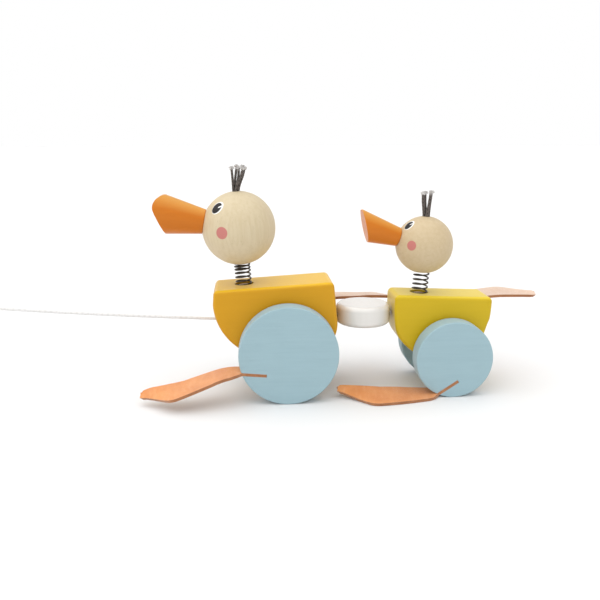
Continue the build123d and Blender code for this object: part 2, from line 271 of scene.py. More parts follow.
def makeTwist():
    tree, given, result = newGroup("yarnTwist", {"Vector": None, "Pitch": 0.0016}, ["Strands", "Fuzz", "Height"])
    sized = resize(tree, given["Vector"], calculate(tree, "DIVIDE", 1.0, given["Pitch"]))
    crossed = []
    for turn in (0.9, -0.9):
        placed = addNode(tree, "ShaderNodeMapping", {"Vector": sized, "Rotation": (0, turn, turn)}).outputs[0]
        ply = {"Vector": placed, "Scale": 0.34, "Distortion": 0.8, "Detail": 1.0}
        crossed.append(addNode(tree, "ShaderNodeTexWave", ply).outputs["Fac"])
    strands = calculate(tree, "MAXIMUM", *crossed)
    fuzz = noise(tree, sized, 9.0, 3.0)
    height = plus(tree, strands, times(tree, fuzz, 0.3))
    giveResults(tree, result, {"Strands": strands, "Fuzz": fuzz, "Height": height})
    return tree


woodGrain = makeWoodGrain()
edgeWearAndHighlight = makeEdgeWearAndHighlight()
handlingAndTopLight = makeHandlingAndTopLight()
printedSpot = makePrintedSpot()
leatherGrain = makeLeatherGrain()
yarnTwist = makeTwist()
print("shader groups made")


# Materials

def newMaterial(name, turn=(0, 0, 0)):
    material = bpy.data.materials.new(name)
    material.use_nodes = True
    tree = material.node_tree
    shader = tree.nodes["Principled BSDF"]
    place = addNode(tree, "ShaderNodeTexCoord").outputs["Object"]
    place = addNode(tree, "ShaderNodeMapping", {"Vector": place, "Rotation": turn}).outputs[0]
    return material, tree, shader, place


def bump(tree, shader, height, distance):
    node = addNode(tree, "ShaderNodeBump", {"Height": height, "Distance": distance, "Strength": 1.0})
    tree.links.new(node.outputs[0], shader.inputs["Normal"])


# what all the paints share: handling marks, bare wood at chipped edges, dust and orange peel
paintFilm = {
    "smudge": 0.16, "chipColour": (0.72, 0.52, 0.30), "dust": 0.05, "dustColour": (0.8, 0.78, 0.74),
    "roughDrop": 0.06, "smudgeRough": 0.12, "scuffRough": 0.15, "sheenRoughness": 0.3,
    "peelScale": 420.0, "peelShare": 0.5, "bump": 0.00009,
}


def paintedWood(name, look):
    film = paintFilm
    material, tree, shader, place = newMaterial(name, look["turn"])
    grain = useGroup(tree, woodGrain, {"Vector": place, "Ring Width": look["ringWidth"]})
    edges = useGroup(tree, edgeWearAndHighlight, {"Vector": place, "Amount": look["wear"]})
    handsAndTopLight = useGroup(tree, handlingAndTopLight, {"Vector": place})
    shade = times(tree, grain["Fibres"], look["fibres"])
    shade = plus(tree, shade, times(tree, grain["Rings"], look["rings"]))
    shade = plus(tree, shade, times(tree, grain["Streaks"], look["streaks"]))
    colour = mixColour(tree, shade, paint(look["colour"]), paint(look["deep"]))
    # painted top light: upward faces turn towards a lighter colour, as light from above would make them
    if "topLightColour" in look:
        colour = mixColour(tree, handsAndTopLight["TopLight"], colour, paint(look["topLightColour"]))
    colour = mixColour(tree, times(tree, handsAndTopLight["Smudge"], film["smudge"]), colour, paint(look["pale"]))
    # painted highlight: rounded edges lighten towards the pale colour
    colour = mixColour(tree, times(tree, edges["EdgeHighlight"], look["edge"]), colour, paint(look["pale"]))
    colour = mixColour(tree, edges["Worn"], colour, paint(film["chipColour"]))
    colour = mixColour(tree, times(tree, handsAndTopLight["Dust"], film["dust"]), colour, paint(film["dustColour"]))
    tree.links.new(colour, shader.inputs["Base Color"])
    rough = plus(tree, look["roughness"] - film["roughDrop"], times(tree, handsAndTopLight["Smudge"], film["smudgeRough"]))
    rough = plus(tree, rough, times(tree, handsAndTopLight["Scuffs"], film["scuffRough"]))
    tree.links.new(rough, shader.inputs["Roughness"])
    setInputs(shader, {
        "Coat Weight": look["coat"], "Coat Roughness": look["coatRoughness"], "Specular IOR Level": look["specular"],
        "Sheen Weight": look["sheen"], "Sheen Roughness": film["sheenRoughness"],
    })
    peel = noise(tree, place, film["peelScale"], 2.0)
    height = plus(tree, times(tree, grain["Height"], look["relief"]), times(tree, peel, film["peelShare"]))
    bump(tree, shader, height, film["bump"])
    return material


# both bodies and the beaks have the same kind of paint in their own colours
# edge sets the strength of the painted highlight along rounded edges
bodyPaint = {
    "turn": (0, math.pi / 2, 0), "ringWidth": 0.006, "fibres": 0.18, "rings": 0.10, "wear": 0.10, "edge": 0.35,
    "roughness": 0.42, "coat": 0.12, "coatRoughness": 0.30, "specular": 0.20, "relief": 0.5, "streaks": 0.06,
    "sheen": 0.30,
}
# each top-light colour is painted light from above on the upward faces, not a different paint
paintLooks = {
    "mother_body": {**bodyPaint, "colour": (0.620, 0.305, 0.004), "deep": (0.53, 0.240, 0.003),
                    "pale": (0.74, 0.44, 0.040), "topLightColour": (0.78, 0.47, 0.006)},
    "duckling_body": {**bodyPaint, "colour": (0.600, 0.410, 0.005), "deep": (0.51, 0.335, 0.004),
                      "pale": (0.72, 0.55, 0.06), "topLightColour": (0.76, 0.57, 0.030)},
    "beaks": {**bodyPaint, "colour": (0.590, 0.165, 0.008), "deep": (0.50, 0.125, 0.006),
              "pale": (0.74, 0.31, 0.05), "topLightColour": (0.66, 0.30, 0.040), "ringWidth": 0.005,
              "roughness": 0.45, "coat": 0.08, "relief": 0.6, "streaks": 0.14},
    "wheels": {"colour": (0.322, 0.472, 0.524), "deep": (0.272, 0.404, 0.455), "pale": (0.46, 0.60, 0.64),
               "turn": (0, math.pi / 2, 0), "ringWidth": 0.009, "fibres": 0.32, "rings": 0.08, "wear": 0.10,
               "edge": 0.4, "roughness": 0.62, "coat": 0.0, "coatRoughness": 0.4, "specular": 0.40, "relief": 1.2,
               "streaks": 0.22, "sheen": 0.22},
    "link_disc": {"colour": (0.72, 0.70, 0.665), "deep": (0.61, 0.585, 0.54), "pale": (0.88, 0.88, 0.87),
                  "turn": (0, 0, 0), "ringWidth": 0.007, "fibres": 0.10, "rings": 0.06, "wear": 0.05,
                  "edge": 0.2, "roughness": 0.22, "coat": 0.8, "coatRoughness": 0.08, "specular": 0.5, "relief": 0.3,
                  "streaks": 0.0, "sheen": 0.0},
}

bareLooks = {
    "plain_wood": {"light": (0.72, 0.53, 0.32), "dark": (0.50, 0.31, 0.15), "turn": (math.pi / 2, 0, 0),
                   "ringWidth": 0.0016, "roughness": 0.6},
    "washer_wood": {"light": (0.70, 0.54, 0.36), "dark": (0.46, 0.30, 0.16), "turn": (0, math.pi / 2, 0),
                    "ringWidth": 0.0012, "roughness": 0.65},
    "bead_wood": {"light": (0.78, 0.62, 0.42), "dark": (0.58, 0.42, 0.25), "turn": (0, 0.3, 0),
                  "ringWidth": 0.0022, "roughness": 0.45},
}

# how strongly each mark of the grain darkens bare or varnished wood
grainShares = {"rings": 0.4, "streaks": 0.24, "fibres": 0.26, "pores": 0.28, "poreDepth": 0.6,
               "roughDrop": 0.05, "smudgeRough": 0.1, "bump": 0.00006}


def varnish(tree, shader, place, look):
    share = grainShares
    light, dark = paint(look["light"]), paint(look["dark"])
    poreColour = paint([c * share["poreDepth"] for c in look["dark"]])
    grain = useGroup(tree, woodGrain, {"Vector": place, "Ring Width": look["ringWidth"], "Wander": 0.25})
    handsAndTopLight = useGroup(tree, handlingAndTopLight, {"Vector": place})
    colour = mixColour(tree, times(tree, grain["Rings"], look.get("rings", share["rings"])), light, dark)
    colour = mixColour(tree, times(tree, grain["Streaks"], share["streaks"]), colour, dark)
    colour = mixColour(tree, times(tree, grain["Fibres"], share["fibres"]), colour, dark)
    colour = mixColour(tree, times(tree, grain["Pores"], share["pores"]), colour, poreColour)
    rough = plus(tree, look["roughness"] - share["roughDrop"], times(tree, handsAndTopLight["Smudge"], share["smudgeRough"]))
    tree.links.new(rough, shader.inputs["Roughness"])
    bump(tree, shader, grain["Height"], share["bump"])
    return colour


def bareWood(name, look):
    material, tree, shader, place = newMaterial(name, look["turn"])
    colour = varnish(tree, shader, place, look)
    tree.links.new(colour, shader.inputs["Base Color"])
    return material


# Eyes and cheeks are printed on both sides; places are in head radii from the ball's middle.
headLooks = {
    "mother_head": {
        "light": (0.655, 0.555, 0.380), "dark": (0.52, 0.41, 0.235), "ringWidth": 0.0042, "roughness": 0.5,
        "rings": 0.12, "turn": (0, 0.06, 0), "grainShift": (0.012, 0.05, 0),
        "eye": {"centre": (-0.566, 0.560, 0.605), "along": (0.2136, -0.061, 0.254), "length": 0.168, "width": 0.145},
        "cheek": {"centre": (-0.4415, 0.897, -0.0187), "size": 0.162},
    },
    "duckling_head": {
        "light": (0.610, 0.490, 0.315), "dark": (0.49, 0.365, 0.200), "ringWidth": 0.0030, "roughness": 0.5,
        "rings": 0.16, "turn": (math.pi / 2, 0, 0), "grainShift": (0.0015, -0.0042, 0),
        "eye": {"centre": (-0.635, 0.270, 0.724), "along": (0.2534, -0.080, 0.2457), "length": 0.180, "width": 0.150},
        "cheek": {"centre": (-0.6306, 0.7707, 0.0913), "size": 0.168},
    },
}
# the white shows as a thin rim round the pupil, and the glint lies towards its upper rear edge
facePrint = {
    "white": (0.86, 0.85, 0.83), "pupil": (0.012, 0.009, 0.009), "cheek": (0.535, 0.150, 0.146), "cheekCover": 0.88,
    "cheekRagged": 0.05, "ragged": 0.03, "whiteShift": (0.014, 0.016), "whiteGrow": (1.17, 1.20),
    "glintShift": (0.50, 0.58), "glintLean": 0.7, "glintSize": (0.46, 0.17),
    "coat": 0.06, "coatRoughness": 0.35, "specular": 0.28,
}


def printedHead(name, look):
    ink = facePrint
    low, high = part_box(name)
    radius = (high[1] - low[1]) / 2
    material, tree, shader, place = newMaterial(f"{name}_wood")
    centred = {"Vector": place, "Location": tuple(-c for c in look["middle"])}
    local = addNode(tree, "ShaderNodeMapping", centred).outputs[0]
    turned = {"Vector": local, "Location": look["grainShift"], "Rotation": look["turn"]}
    colour = varnish(tree, shader, addNode(tree, "ShaderNodeMapping", turned).outputs[0], look)
    unit = resize(tree, local, 1.0 / radius)
    split = addNode(tree, "ShaderNodeSeparateXYZ", {0: unit}).outputs
    folded = {0: split[0], 1: calculate(tree, "ABSOLUTE", split[1]), 2: split[2]}
    bothSides = addNode(tree, "ShaderNodeCombineXYZ", folded).outputs[0]

    def spot(middle, along, length, width, ragged=ink["ragged"]):
        middle = Vector(middle).normalized()
        across = middle.cross(Vector(along)).normalized()
        along = across.cross(middle).normalized()
        inputs = {"Vector": bothSides, "Centre": middle, "Along": along, "Across": across,
                  "Length": length, "Width": width, "Ragged": ragged}
        return useGroup(tree, printedSpot, inputs)["Mask"]

    cheek = look["cheek"]
    blush = spot(cheek["centre"], (0, 0, 1), cheek["size"], cheek["size"], ink["cheekRagged"])
    colour = mixColour(tree, times(tree, blush, ink["cheekCover"]), colour, paint(ink["cheek"]))
    eye = look["eye"]
    length, width = eye["length"], eye["width"]
    middle = Vector(eye["centre"]).normalized()
    along = Vector(eye["along"]).normalized()
    across = middle.cross(along).normalized()
    if across.x < 0:
        across = -across
    whiteMiddle = middle + along * ink["whiteShift"][0] + across * ink["whiteShift"][1]
    white = spot(whiteMiddle, along, length * ink["whiteGrow"][0], width * ink["whiteGrow"][1])
    colour = mixColour(tree, white, colour, paint(ink["white"]))
    colour = mixColour(tree, spot(middle, along, length, width), colour, paint(ink["pupil"]))
    glintMiddle = middle + along * length * ink["glintShift"][0] + across * width * ink["glintShift"][1]
    glint = spot(glintMiddle, along + across * ink["glintLean"],
                 length * ink["glintSize"][0], width * ink["glintSize"][1])
    colour = mixColour(tree, glint, colour, paint(ink["white"]))
    tree.links.new(colour, shader.inputs["Base Color"])
    setInputs(shader, {
        "Coat Weight": ink["coat"], "Coat Roughness": ink["coatRoughness"], "Specular IOR Level": ink["specular"],
    })
    return material


def metal(name, look):
    material, tree, shader, place = newMaterial(name)
    drawn = stretch(tree, place, (1, 1, 0.2))
    lines = noise(tree, drawn, 2600.0, 3.0)
    stains = noise(tree, place, 240.0, 4.0)
    colour = mixColour(tree, remap(tree, stains, 0.4, 0.7), paint(look["bright"]), paint(look["dull"]))
    tree.links.new(colour, shader.inputs["Base Color"])
    shader.inputs["Metallic"].default_value = 1.0
    rough = remap(tree, lines, 0.3, 0.7, look["roughness"] - 0.08, look["roughness"] + 0.1)
    tree.links.new(rough, shader.inputs["Roughness"])
    bump(tree, shader, lines, 0.00002)
    return material


metalLooks = {
    "spring_steel": {"bright": (0.115, 0.100, 0.086), "dull": (0.045, 0.038, 0.031), "roughness": 0.34},
    "plated_steel": {"bright": (0.72, 0.72, 0.70), "dull": (0.50, 0.50, 0.49), "roughness": 0.30},
}

leatherLooks = {
    "leather_face": {"colour": (0.78, 0.315, 0.095), "deep": (0.62, 0.205, 0.05), "pale": (0.86, 0.47, 0.24),
                     "roughness": 0.52, "relief": 0.00010},
    # the back colour is the leather's pale flesh side, and on the right feet, where it lies on top, also a painted
    # reflection
    "leather_back_and_reflection": {"colour": (0.76, 0.56, 0.430), "deep": (0.65, 0.44, 0.32), "pale": (0.84, 0.68, 0.57),
                     "roughness": 0.85, "relief": 0.00020},
    "leather_edge": {"colour": (0.45, 0.185, 0.072), "deep": (0.27, 0.10, 0.04), "pale": (0.62, 0.32, 0.16),
                     "roughness": 0.8, "relief": 0.00022},
}


def leatherMaterial(name, look):
    material, tree, shader, place = newMaterial(name)
    grain = useGroup(tree, leatherGrain, {"Vector": place})
    mottle = remap(tree, grain["Mottle"], 0.35, 0.7, 0.0, 0.6)
    colour = mixColour(tree, mottle, paint(look["colour"]), paint(look["deep"]))
    colour = mixColour(tree, remap(tree, grain["Creases"], 0.5, 0.75, 0.0, 0.5), colour, paint(look["pale"]))
    colour = mixColour(tree, remap(tree, grain["Cells"], 0.5, 0.0, 0.0, 0.25), colour, paint(look["deep"]))
    tree.links.new(colour, shader.inputs["Base Color"])
    rough = remap(tree, grain["Creases"], 0.3, 0.7, look["roughness"] - 0.08, look["roughness"] + 0.08)
    tree.links.new(rough, shader.inputs["Roughness"])
    setInputs(shader, {"Sheen Weight": 0.55, "Sheen Roughness": 0.38})
    bump(tree, shader, grain["Height"], look["relief"])
    return material


yarnLooks = {
    "pull_cord": {"colour": (0.76, 0.755, 0.745), "shadow": (0.70, 0.695, 0.68), "pitch": 0.0016, "relief": 0.00005},
    "hair_cord": {"colour": (0.110, 0.090, 0.080), "shadow": (0.045, 0.036, 0.031), "pitch": 0.0013,
                  "relief": 0.00018, "tip": (0.65, 0.63, 0.61)},
}


def yarnMaterial(name, look):
    material, tree, shader, place = newMaterial(name)
    twist = useGroup(tree, yarnTwist, {"Vector": place, "Pitch": look["pitch"]})
    colour = mixColour(tree, remap(tree, twist["Strands"], 0.3, 0.9), paint(look["shadow"]), paint(look["colour"]))
    if "tip" in look:
        tip = addNode(tree, "ShaderNodeAttribute", attribute_name="strandTip").outputs["Fac"]
        colour = mixColour(tree, tip, colour, paint(look["tip"]))
    tree.links.new(colour, shader.inputs["Base Color"])
    tree.links.new(remap(tree, twist["Fuzz"], 0.3, 0.7, 0.82, 0.95), shader.inputs["Roughness"])
    shader.inputs["Sheen Weight"].default_value = 0.3
    bump(tree, shader, twist["Height"], look["relief"])
    return material


def dress(nodeName, material):
    for materialSlot in nodes[nodeName].material_slots:
        materialSlot.material = material


def inDuck(duck, x, z, y=0.0):
    tilt = math.radians(duck["pitch"])
    axle = duck["axle"]
    return Vector((
        axle.x + x * math.cos(tilt) - z * math.sin(tilt),
        y,
        axle.z + x * math.sin(tilt) + z * math.cos(tilt),
    ))


ducks = {
    "mother": {"pitch": 3.5, "axle": middleOf("mother_axle"), "wheelRadius": 0.0337, "halfWidth": 0.020,
               "deck": 0.0448, "neckX": -0.0264, "headX": -0.0269, "headZ": 0.0836, "headRadius": 0.025},
    "duckling": {"pitch": -2.2, "axle": middleOf("duckling_axle"), "wheelRadius": 0.0268, "halfWidth": 0.015,
                 "deck": 0.0412, "neckX": -0.0212, "headX": -0.0202, "headZ": 0.0749, "headRadius": 0.020},
}

wheelPaint = paintedWood("wheelPaint", paintLooks["wheels"])
beakPaint = paintedWood("beakPaint", paintLooks["beaks"])
plainWood = bareWood("plainWood", bareLooks["plain_wood"])
washerWood = bareWood("washerWood", bareLooks["washer_wood"])
springSteel = metal("springSteel", metalLooks["spring_steel"])
platedSteel = metal("platedSteel", metalLooks["plated_steel"])
leather = {name: leatherMaterial(name, look) for name, look in leatherLooks.items()}
cordYarn = yarnMaterial("cordYarn", yarnLooks["pull_cord"])
hairYarn = yarnMaterial("hairYarn", yarnLooks["hair_cord"])

for duckName, duck in ducks.items():
    headLooks[f"{duckName}_head"]["middle"] = inDuck(duck, duck["headX"], duck["headZ"])
    dress(f"{duckName}_body", paintedWood(f"{duckName}Paint", paintLooks[f"{duckName}_body"]))
    dress(f"{duckName}_head", printedHead(f"{duckName}_head", headLooks[f"{duckName}_head"]))
    dress(f"{duckName}_beak", beakPaint)
    for part in ("beak_dowel", "axle", "lower_neck_plug", "upper_neck_plug"):
        dress(f"{duckName}_{part}", plainWood)
    dress(f"{duckName}_axle_washers", washerWood)
    for side in ("left", "right"):
        dress(f"{duckName}_wheel_{side}", wheelPaint)
dress("link_disc", paintedWood("discPaint", paintLooks["link_disc"]))
for name in ("link_lug_front", "link_lug_rear", "link_pins"):
    dress(name, platedSteel)
dress("pull_bead", bareWood("beadWood", bareLooks["bead_wood"]))
print("materials on the frame")


def tubeFromPoints(name, points, thickness, order=4, closed=False, sides=3):
    curveData = bpy.data.curves.new(name, "CURVE")
    curveData.dimensions = "3D"
    curveData.bevel_depth = thickness / 2
    curveData.bevel_resolution = sides
    curveData.use_fill_caps = True
    spline = curveData.splines.new("NURBS")
    spline.points.add(len(points) - 1)
    for point, place in zip(spline.points, points):
        point.co = (*place, 1.0)
    spline.order_u = min(order, len(points))
    spline.use_cyclic_u = closed
    spline.use_endpoint_u = not closed
    spline.resolution_u = 4
    obj = bpy.data.objects.new(name, curveData)
    bpy.context.scene.collection.objects.link(obj)
    return obj


def toMesh(name, objects):
    makeActive(*objects)
    bpy.ops.object.convert(target="MESH")
    if len(objects) > 1:
        bpy.ops.object.join()
    obj = bpy.context.object
    obj.name = name
    obj.data.name = name
    cleanMesh(obj)
    bpy.ops.object.shade_smooth()
    return obj


# Neck springs; stretch stops are (turn, share of the spring's height)
springs = {
    "mother": {"radius": 0.0053, "wire": 0.0011, "start": 2.2,
               "stretch": [(0, 0.0), (2.2, 0.17), (3.0, 0.26), (6.0, 0.58), (8.8, 0.80), (11.0, 1.0)]},
    "duckling": {"radius": 0.0053, "wire": 0.0011, "start": 0.6,
                 "stretch": [(0, 0.0), (1.9, 0.15), (2.6, 0.26), (6.8, 0.76), (9.0, 1.0)]},
}
springSeat = {"belowDeck": 0.0062, "aboveChin": 0.0068, "clamp": 0.001, "stepsPerTurn": 16}


def readStops(stops, value):
    for (a, low), (b, high) in zip(stops, stops[1:]):
        if value <= b:
            part = (value - a) / (b - a)
            return low + (high - low) * part
    return stops[-1][1]


def makeSpring(duckName):
    look = springs[duckName]
    duck = ducks[duckName]
    low = inDuck(duck, duck["neckX"], duck["deck"] - springSeat["belowDeck"])
    high = inDuck(duck, duck["headX"], duck["headZ"] - duck["headRadius"] + springSeat["aboveChin"])
    way = high - low
    turnFrame = way.to_track_quat("Z", "Y").to_matrix()
    turns = look["stretch"][-1][0]
    steps = int(turns * springSeat["stepsPerTurn"])
    points = []
    for i in range(steps + 1):
        turn = turns * i / steps
        angle = 2 * math.pi * turn + look["start"]
        ring = Vector((look["radius"] * math.cos(angle), look["radius"] * math.sin(angle), 0))
        points.append(low + way * readStops(look["stretch"], turn) + turnFrame @ ring)
    deckTop = inDuck(duck, duck["neckX"], duck["deck"] - springSeat["clamp"])
    chin = inDuck(duck, duck["headX"], duck["headZ"] - duck["headRadius"] + springSeat["clamp"])
    middle = (deckTop + chin) / 2
    cut = next(i for i, point in enumerate(points) if (point - middle).dot(way) > 0)
    # the coil is split at its middle into a lower and an upper half
    halves = {
        "Lower": (points[:cut + 1], "body", "neck", deckTop, middle),
        "Upper": (points[cut:], "neck", "head", middle, chin),
    }
    for half, (coil, below, above, start, end) in halves.items():
        name = f"{duckName}Spring{half}"
        spring = toMesh(name, [tubeFromPoints(name, coil, look["wire"], sides=4)])
        spring.data.materials.append(springSteel)
        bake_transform(spring)
        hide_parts(f"{duckName}_neck_spring")


for duckName in ducks:
    makeSpring(duckName)
print("neck springs wound")


# Hair: waxed cords with frayed ends; leans are in degrees from the head's own upright
hair = {
    "mother": {"leans": [(0, 0), (8, 8), (16, -8), (21, 4), (26, -3), (12, 0)], "length": 0.0154,
               "thick": 0.0017, "ring": 0.0017, "frays": 42, "frayLength": 0.0023},
    "duckling": {"leans": [(-7, 0), (-4, 6), (1, -6), (6, 3), (8, -2)], "length": 0.0162,
                 "thick": 0.0019, "ring": 0.0016, "frays": 34, "frayLength": 0.0022},
}
hairCord = {"rooted": 0.005, "skin": 0.001, "bend": 0.0006, "fray": 0.00048, "frayRoot": 0.0006,
            "fadeStart": 0.0022, "fadeLength": 0.0018}


def makeHair(duckName):
    look = hair[duckName]
    duck = ducks[duckName]
    pole = inDuck(duck, duck["headX"], duck["headZ"] + duck["headRadius"])
    upright = (pole - inDuck(duck, duck["headX"], duck["headZ"])).normalized()
    back = upright.cross(Vector((0, 1, 0))).normalized()
    if back.x < 0:
        back = -back
    strands = []
    frays = []
    count = len(look["leans"])
    for i, (lean, splay) in enumerate(look["leans"]):
        turn = 2 * math.pi * i / max(count - 1, 1)
        ring = look["ring"] if i < count - 1 else 0.0
        foot = pole - back * ring * math.cos(turn) + Vector((0, ring * math.sin(turn), 0))
        lean, splay = math.radians(lean), math.radians(splay)
        way = upright * math.cos(lean) + back * math.sin(lean) + Vector((0, math.sin(splay), 0))
        length = look["length"] * random.uniform(0.93, 1.06)
        bend = back * hairCord["bend"] * random.uniform(-1, 1.2)
        points = [foot - upright * hairCord["rooted"], foot - upright * hairCord["skin"]]
        for part in (0.25, 0.5, 0.75, 1.0):
            straight = upright.lerp(way, min(1, 0.35 + part))
            points.append(foot + straight * length * part + bend * math.sin(math.pi * part))
        strands.append(tubeFromPoints("strand", points, look["thick"], order=3, sides=5))
        end = points[-1]
        for _ in range(look["frays"]):
            out = Vector((random.gauss(0, 1), random.gauss(0, 1), random.gauss(0, 0.6)))
            out = (out.normalized() * 0.9 + way * 0.55).normalized()
            scatter = Vector((random.uniform(-1, 1), random.uniform(-1, 1), 0))
            root = end + scatter * look["thick"] * 0.28 - way * hairCord["frayRoot"]
            reach = look["frayLength"] * random.uniform(0.55, 1.0)
            middle = root + way * reach * 0.45 + out * reach * 0.25
            tip = root + out * reach + way * reach * 0.2
            frays.append(tubeFromPoints("fray", [root, middle, tip], hairCord["fray"], order=3, sides=1))
    solid = toMesh("strands", strands)
    loose = toMesh("frays", frays)
    for piece, value in ((solid, 0.0), (loose, 1.0)):
        layer = piece.data.attributes.new("strandTip", "FLOAT", "POINT")
        heights = [(v.co - pole).dot(upright) for v in piece.data.vertices]
        top = max(heights)
        fades = [(h - top + hairCord["fadeStart"]) / hairCord["fadeLength"] for h in heights]
        values = [max(value, min(1.0, fade)) for fade in fades]
        layer.data.foreach_set("value", values)
    tuft = makeActive(solid, loose)
    bpy.ops.object.join()
    tuft.name = f"{duckName}Hair"
    tuft.data.materials.append(hairYarn)
    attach(tuft, f"{duckName}_head")
    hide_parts(f"{duckName}_hair")


for duckName in ducks:
    makeHair(duckName)
print("hair tufts set")


# Leather feet: plan stops are (distance out from the rim, edge), bends are (distance, angle above level),
# and rises are (distance, height added along the inner or the outer edge)
footPlan = {
    # the inner edge steps out past the rim, so that a foot clears the cheek as its wheel turns
    "inner": [(-0.0168, 0.0), (0.026, 0.0), (0.034, 0.0018), (0.040, 0.0034), (0.060, 0.0036), (0.066, 0.0032)],
    "outer": [(-0.0168, 0.013), (0.0, 0.013), (0.002, 0.0158), (0.007, 0.0190), (0.020, 0.0223), (0.033, 0.0247),
              (0.042, 0.0258), (0.0455, 0.0258), (0.0485, 0.0247), (0.0515, 0.0221), (0.0560, 0.0176),
              (0.0610, 0.0134), (0.066, 0.0100)],
    "length": 0.0700, "tip": 0.0060, "leastTaper": 0.34, "tipRoundness": 2.6, "thickness": 0.0020,
    "edgeRadius": 0.00035, "slotOffset": 0.0144, "slotDepth": 0.0166, "bodyGap": 0.002,
    "rows": 96, "columns": 16, "rowSpread": 0.82, "spineStep": 0.0005,
}
# the right feet carry the pale back leather on top, where its colour is also a painted reflection
feet = {
    "mother_foot_left": {
        "facing": -1, "upper": "leather_face", "under": "leather_back_and_reflection", "length": 0.0700,
        "bends": [(0.0, 5.2), (0.018, -18.0), (0.040, -18.0), (0.070, -9.0)],
        "innerRise": [(0.0, 0.0002), (0.026, 0.0004), (0.040, 0.0013), (0.050, 0.0023), (0.062, 0.0031),
                      (0.070, 0.0020)],
        "outerRise": [(0.0, 0.0), (0.008, -0.0008), (0.020, -0.0013), (0.045, -0.0019), (0.055, -0.0020),
                      (0.070, -0.0010)],
    },
    "mother_foot_right": {
        "facing": 1, "upper": "leather_back_and_reflection", "under": "leather_face", "length": 0.0700,
        "bends": [(0.0, 18.5), (0.020, 0.0), (0.070, -3.5)],
        "innerRise": [(0.0, 0.0), (0.070, 0.0)],
        "outerRise": [(0.0, 0.0), (0.010, -0.0010), (0.033, -0.0025), (0.070, -0.0025)],
    },
    "duckling_foot_left": {
        "facing": -1, "upper": "leather_face", "under": "leather_back_and_reflection", "length": 0.0695,
        "bends": [(0.0, -33.5), (0.005, 0.0), (0.070, 0.0)],
        "innerRise": [(0.0, 0.0002), (0.005, 0.0008), (0.020, 0.0016), (0.026, 0.0021), (0.042, 0.0041),
                      (0.058, 0.0056), (0.070, 0.0062)],
        "outerRise": [(0.0, 0.0001), (0.004, 0.0002), (0.050, 0.0003), (0.0555, 0.0005), (0.061, 0.0015),
                      (0.067, 0.0031), (0.070, 0.0037)],
    },
    "duckling_foot_right": {
        "facing": 1, "upper": "leather_back_and_reflection", "under": "leather_face", "length": 0.0660,
        "bends": [(0.0, 33.5), (0.030, 0.0), (0.070, -2.0)],
        "innerRise": [(0.0, 0.0), (0.070, 0.0)],
        "outerRise": [(0.0, 0.0), (0.030, 0.0003), (0.040, 0.0012), (0.050, 0.0015), (0.070, 0.0025)],
    },
}


def makeFoot(name):
    duckName, _, side = name.split("_")
    duck = ducks[duckName]
    look = feet[name]
    facing = look["facing"]
    length = look["length"]
    hand = -1 if side == "left" else 1
    start = math.radians(look["bends"][0][1])
    out = Vector((facing * math.cos(start), 0, math.sin(start)))
    across = Vector((-out.z, 0, out.x))
    halfChord = math.sqrt(duck["wheelRadius"] ** 2 - footPlan["slotOffset"] ** 2)
    mouth = duck["axle"] + across * footPlan["slotOffset"] + out * halfChord
    mouth.y = 0
    inner = duck["halfWidth"] + footPlan["bodyGap"]
    bpy.ops.mesh.primitive_grid_add(x_subdivisions=footPlan["rows"], y_subdivisions=footPlan["columns"], size=1)
    foot = bpy.context.object
    foot.name = foot.data.name = name.replace("_", "").replace("foot", "Foot")
    spine = [(0.0, mouth.copy())]
    step = footPlan["spineStep"]
    place = mouth.copy()
    while spine[-1][0] < length:
        angle = math.radians(readStops(look["bends"], spine[-1][0] + step / 2))
        place = place + Vector((facing * math.cos(angle), 0, math.sin(angle))) * step
        spine.append((spine[-1][0] + step, place.copy()))
    for vertex in foot.data.vertices:
        part = vertex.co.x + 0.5
        spread = math.sin(part * math.pi / 2) ** footPlan["rowSpread"]
        reach = min(-footPlan["slotDepth"] + (length + footPlan["slotDepth"]) * spread, length)
        planned = reach * footPlan["length"] / length if reach > 0 else reach
        low = readStops(footPlan["inner"], planned)
        high = readStops(footPlan["outer"], planned)
        past = reach - (length - footPlan["tip"])
        if past > 0:
            roundness = footPlan["tipRoundness"]
            taper = max(0.0, 1 - (past / footPlan["tip"]) ** roundness) ** (1 / roundness)
            taper = max(footPlan["leastTaper"], taper)
            middle = (low + high) / 2
            low = middle + (low - middle) * taper
            high = middle + (high - middle) * taper
        share = vertex.co.y + 0.5
        width = low + (high - low) * share
        if reach <= 0:
            point = mouth + out * reach
        else:
            index = min(int(reach / step), len(spine) - 2)
            point = spine[index][1].lerp(spine[index + 1][1], reach / step - index)
        rise = 0.0
        if reach > 0:
            rise = readStops(look["innerRise"], reach) * (1 - share) + readStops(look["outerRise"], reach) * share
        vertex.co = (point.x, hand * (inner + width), point.z + rise)
    cleanMesh(foot, 0.00002)
    upward = sum(polygon.normal.z for polygon in foot.data.polygons) > 0
    if not upward:
        makeActive(foot)
        bpy.ops.object.mode_set(mode="EDIT")
        bpy.ops.mesh.select_all(action="SELECT")
        bpy.ops.mesh.flip_normals()
        bpy.ops.object.mode_set(mode="OBJECT")
    for materialName in (look["upper"], look["under"], "leather_edge"):
        foot.data.materials.append(leather[materialName])
    thick = foot.modifiers.new("thickness", "SOLIDIFY")
    thick.thickness = footPlan["thickness"]
    thick.offset = 0
    thick.material_offset = 1
    thick.material_offset_rim = 2
    soft = foot.modifiers.new("edges", "BEVEL")
    soft.width = footPlan["edgeRadius"]
    soft.segments = 3
    soft.limit_method = "ANGLE"
    soft.angle_limit = math.radians(50)
    applyModifiers(foot)
    cleanMesh(foot)
    bpy.ops.object.shade_smooth_by_angle(angle=math.radians(40))
    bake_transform(foot)
    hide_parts(name)


for name in feet:
    makeFoot(name)
print("leather feet bent")


